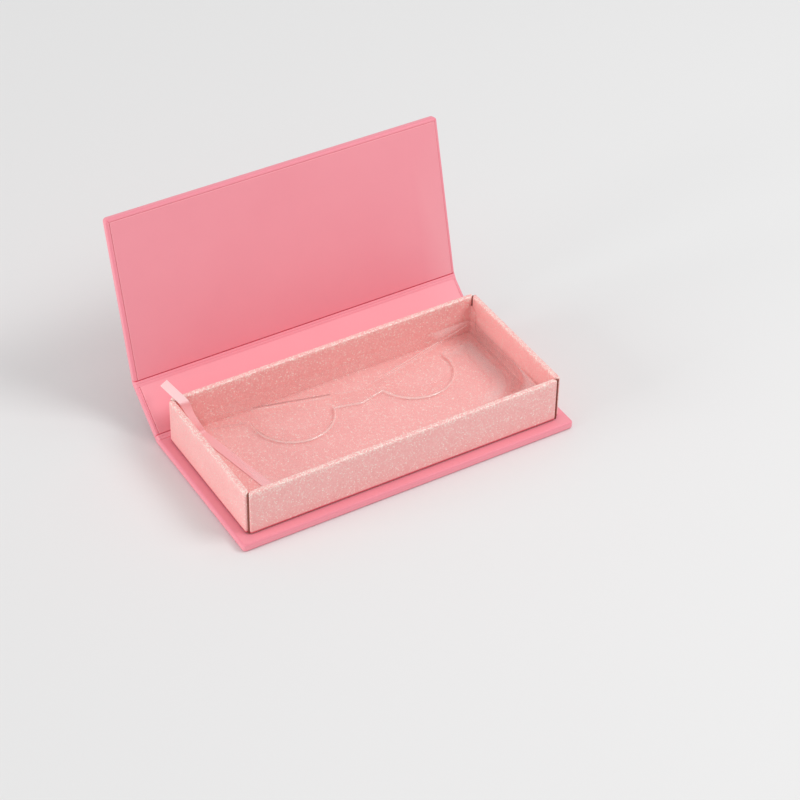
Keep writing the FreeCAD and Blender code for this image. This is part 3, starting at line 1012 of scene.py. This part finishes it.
def soft_corner(first, corner, last, steps):
    """Bend between two runs: a curve of second degree that leaves each run shortly before the corner."""
    before = corner + ribbon_bend * unit(first - corner)
    after = corner + ribbon_bend * unit(last - corner)
    return np.array(bend_rows(before, corner, after, steps))


def progress(values, first, last):
    """How far values have come from first to last, held between 0 and 1."""
    return np.clip((values - first) / (last - first), 0.0, 1.0)


run_front = np.array([-38.0, -19.55, 4.66])
run_back = np.array([-46.2, 22.85, 4.66])
rim_turn = np.array([-51.2, 22.85, 18.72])
tail_tip = np.array([-52.4, 34.15, 18.72])
low_turn = soft_corner(run_front, run_back, rim_turn, 12)
high_turn = soft_corner(run_back, rim_turn, tail_tip, 12)
floor_run = run(run_front, low_turn[0], 40)
riser = run(low_turn[-1], high_turn[0], 16)
strap_path = np.concatenate([floor_run, low_turn[:-1], riser, high_turn[:1]])
risen = progress(strap_path[:, 2], low_turn[-1][2], high_turn[0][2])
# Below the rim the strap is painted deeper as shade; the tail is painted paler as sheen.
strap("ribbon_strap", strap_path, ["pull_ribbon"], np.ones(len(strap_path)),
      most_twist * np.sin(math.pi * risen))
tail_path = np.concatenate([high_turn[:-1], run(high_turn[-1], tail_tip, 18), tail_tip[None]])
over = progress(tail_path[:, 1], high_turn[0][1], high_turn[-1][1])
tail = strap("ribbon_end", tail_path, ["ribbon_tail"], 1.0 - over, 0.0, tail_cut)
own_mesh(tail)

# %% [markdown]
# Some solids keep their own shape and only need a finish: the tray's floor, the grey boards inside the
# covers, the brown tape that shows in the corner slits, and the closing magnets. One function makes the
# finish of board, tape and metal, and of the inks below: colour and roughness follow one fine noise.


# %% Finishes of the plain solids
def grainy(name, dark, light, grain, detail, rough, spread, raise_by=0.0, **fixed):
    """One fine noise mixes the colours and sets the roughness, and may also raise the surface."""
    material, shader, place = new_finish(name, **fixed)
    fleck = noise(place, grain, detail)
    feed(shader, Base_Color=colour_mix(fleck, dark, light), Roughness=rough + spread * fleck)
    if raise_by:
        feed(shader, Normal=bump(place, fleck, 0.3, raise_by))
    return material


def rough_paper(name, dark, light, grain):
    """Grainy finish that is dull and raised, as board and tape are."""
    return grainy(name, dark, light, grain, 5.0, 0.7, 0.2, 0.00008)


plain_finishes = {
    "greyboard": rough_paper("greyboard", srgb(128, 121, 112), srgb(168, 160, 150), 0.0012),
    "kraft_tape": rough_paper("kraft_tape", srgb(124, 64, 54), srgb(158, 90, 76), 0.0009),
    "magnet": grainy("magnet", srgb(170, 170, 172), srgb(205, 205, 206), 0.0006, 3.0, 0.25, 0.15,
                     Metallic=1.0),
    "glitter_paper": glitter_finish,
}
for part in frame["record"]["subparts"]:
    if part["material_slot"] in plain_finishes:
        solid = frame["nodes"][part["node"]]
        solid.data.materials.clear()
        solid.data.materials.append(plain_finishes[part["material_slot"]])
print("plain solids finished")

# %% [markdown]
# The lid's outside is printed. Here it carries a plain design of the maker's own: black fern sprays, a
# white scroll border and a small gold rosette. Pattern nodes could not draw it, and pictures aren't used,
# so every stroke is a path on the lid with a width that tapers to nothing at both ends. It stands a few
# hundredths of a millimetre proud, as thick ink does.

# %% Ink strokes
lid_front = hinge_half + depth_of["lid"]
ink_rise = 0.025
full_rise_width = 0.12


def ink_strokes(name, paths, widths, finish):
    """Strokes from paths and half widths: at each point a low ridge, square to the path, closed below."""
    paths = np.asarray(paths, float)
    widths = np.asarray(widths, float)
    across = left_of(unit(np.gradient(paths, axis=1)))
    swell = np.clip(widths / full_rise_width, 0.0, 1.0)
    ridge = np.array([[-1.0, -0.2], [-0.7, 1.0], [0.7, 1.0], [1.0, -0.2]])
    flat = paths[:, :, None] + across[:, :, None] * (widths[..., None] * ridge[:, 0])[..., None]
    rise = swell[..., None] * ridge[:, 1] * ink_rise
    points = np.stack([flat[..., 0] - half_length, lid_front - flat[..., 1], -half_cover - rise], -1)
    strokes, steps = widths.shape
    one = np.array(grid_faces(steps, len(ridge)))
    faces = (np.arange(strokes)[:, None, None] * steps * len(ridge) + one[None]).reshape(-1, 4).tolist()
    return make_piece(name, on_hinge(points.reshape(-1, 3), "lid"), faces, finish, "lid", sharp=60.0)


def ink(name, dark, light, **fixed):
    """Grainy finish that is fine and fairly smooth."""
    return grainy(name, dark, light, 0.0008, 3.0, 0.3, 0.2, **fixed)


print("strokes stand", ink_rise, "mm proud")

# %% [markdown]
# A fern spray is a bent stem with pairs of leaflets. The stem is a cubic curve; each leaflet leaves it at
# an angle and bends forward, and the leaflets are longest a third of the way up. Small random changes keep
# them from looking stamped, from one seeded generator so that every run is the same.

# %% Fern sprays
draw = np.random.default_rng(7)
leaf_width = 0.34
stem_width = 0.36


def cubic(corners, t):
    """Curve of third degree drawn by four corners."""
    a, b, c, d = np.asarray(corners, float)
    t = np.asarray(t)[..., None]
    return (1 - t) ** 3 * a + 3 * t * (1 - t) ** 2 * b + 3 * t * t * (1 - t) * c + t ** 3 * d


def fern(corners, pairs, longest):
    """Leaflet and stem paths: leaflets curve forward from the stem, each by a share of its own length."""
    steps = np.linspace(0.0, 1.0, 10)
    places = np.repeat(np.linspace(0.05, 0.97, pairs), 2) + draw.uniform(-0.006, 0.006, 2 * pairs)
    side = np.tile([1.0, -1.0], pairs)
    roots = cubic(corners, places)
    ahead = cubic(corners, places + 0.01) - roots
    heading = np.arctan2(ahead[:, 1], ahead[:, 0])
    growth = np.sin(math.pi * (0.12 + 0.86 * places) ** 0.62) ** 0.8
    length = longest * growth * draw.uniform(0.88, 1.1, 2 * pairs)
    angle = heading[:, None] + side[:, None] * (1.05 - 0.75 * steps)
    moves = around(angle) * (length / (len(steps) - 1))[:, None, None]
    paths = roots[:, None] + np.cumsum(moves, axis=1) - moves[:, :1]
    taper = leaf_width * np.sin(math.pi * steps ** 0.6)
    widths = taper[None] * draw.uniform(0.8, 1.15, 2 * pairs)[:, None]
    stem = cubic(corners, steps)[None]
    stem_taper = np.maximum(np.sin(math.pi * steps), 0.0) ** 0.5 * (1.1 - 0.6 * steps)
    return np.concatenate([paths, stem]), np.concatenate([widths, stem_width * stem_taper[None]])


sprays = [fern([(12, 7), (22, 26), (38, 18), (56, 44)], 30, 12.0),
          fern([(66, 18), (72, 30), (84, 30), (98, 46)], 22, 8.5)]
black_ink = ink("black_ink", srgb(16, 14, 15), srgb(30, 27, 28))
ink_strokes("fern_print", np.concatenate([paths for paths, _ in sprays]),
            np.concatenate([widths for _, widths in sprays]), black_ink)

# %% [markdown]
# The border is a row of S scrolls, an old ornament. Each is a curve whose bend grows steadily from its
# middle to its ends, so both ends roll up into spirals. Adding up small steps in a turning direction draws
# it, which is simpler than setting the handles of a curve.

# %% Scroll border
scroll_turn, scroll_half, scroll_wide = 7.6, 5.6, 0.34
scroll_places = ((70.0, 1.0), (82.0, -1.0), (94.0, 1.0), (106.0, -1.0))
scroll_line = 8.0
share = np.linspace(-1.0, 1.0, 241)
scroll = around(scroll_turn * share * share).cumsum(axis=0)
scroll -= scroll[len(share) // 2]
scroll *= scroll_half / np.abs(scroll).max()
fullness = 1.0 - share * share
scroll_width = scroll_wide * fullness ** 0.5 * (0.55 + 0.45 * fullness)
scrolls = np.stack([scroll * [1.0, flip] + [start, scroll_line] for start, flip in scroll_places])
white_ink = ink("white_ink", srgb(250, 244, 243), srgb(255, 252, 251))
ink_strokes("scroll_print", scrolls, np.tile(scroll_width, (len(scrolls), 1)), white_ink)

# %% [markdown]
# The rosette has eight tapered petals round a dot. Each petal is one straight stroke, and so is the dot,
# whose width follows a circle.

# %% Rosette
rosette_middle = np.array([12.0, 44.0])
petal_start, petal_length, petal_wide, dot_half = 1.0, 2.8, 0.62, 0.6
steps = np.linspace(0.0, 1.0, 13)
spokes = np.arange(8) * math.pi / 4
petals = around(spokes)[:, None] * (petal_start + petal_length * steps)[:, None] + rosette_middle
petal_width = np.tile(petal_wide * np.sin(math.pi * steps ** 0.8), (len(spokes), 1))
across_dot = 2.0 * steps - 1.0
dot = np.outer(dot_half * across_dot, [1.0, 0.0])[None] + rosette_middle
dot_width = dot_half * np.sqrt(1.0 - across_dot ** 2)[None]
gold_foil = ink("gold_foil", srgb(190, 145, 62), srgb(222, 182, 98), Metallic=0.9)
ink_strokes("rosette_print", np.concatenate([petals, dot]), np.concatenate([petal_width, dot_width]),
            gold_foil)

# %% [markdown]
# The stage is a pale floor under an even white sky, so that nothing draws the eye from the case. The floor
# lies a hair below the cover, which keeps the two faces apart, and it is no part of the model.

# %% Floor and sky
floor_reach, floor_level = 3.0, -0.00005
floor_corners = floor_reach * np.array([[-1, -1], [1, -1], [1, 1], [-1, 1]])
floor_mesh = bpy.data.meshes.new("floor")
floor_mesh.from_pydata(raised(floor_corners, floor_level).tolist(), [], [(0, 1, 2, 3)])
floor = show("floor", floor_mesh)
floor_finish, floor_shader, floor_place = new_finish("pale_floor", Roughness=0.9)
floor_tone = colour_mix(noise(floor_place, 0.4), srgb(231, 231, 231), srgb(235, 235, 235))
feed(floor_shader, Base_Color=floor_tone)
floor_mesh.materials.append(floor_finish)

sky = bpy.data.worlds.new("sky")
sky.use_nodes = True
sky_light = sky.node_tree.nodes["Background"]
sky_light.inputs["Color"].default_value = (1.0, 1.0, 1.0, 1.0)
sky_light.inputs["Strength"].default_value = 0.6
bpy.context.scene.world = sky
bpy.context.scene.cycles.transparent_max_bounces = 32
print("floor is", 2 * floor_reach, "m wide")

# %% [markdown]
# Soft square lamps model the shapes. The main one stands high in front, to the right, where the spine's
# satin paper mirrors it towards the camera; it also shades the cover's margin left of the tray. A weak lamp
# above and a low one at the left, for the left wall, do the rest.


# %% Lamps
def softbox(name, direction, distance, size, watts):
    """Square lamp at a distance along a direction from the case, turned to face it."""
    way = Vector(direction).normalized()
    facing = way.to_track_quat("Z", "Y").to_matrix().to_4x4()
    lamp = bpy.data.lights.new(name, "AREA")
    lamp.size = size
    lamp.energy = watts
    show(name, lamp).matrix_world = Matrix.Translation(way * distance) @ facing


softbox("key_lamp", (0.55, -0.45, 0.8), distance=1.2, size=0.5, watts=5.0)
softbox("top_lamp", (0.5, 0.1, 1.0), distance=2.0, size=0.9, watts=3.1)
softbox("left_lamp", (-1.0, 0.1, 0.25), distance=2.0, size=1.0, watts=15.8)
print("lamps:", [lamp.name for lamp in bpy.data.lights])
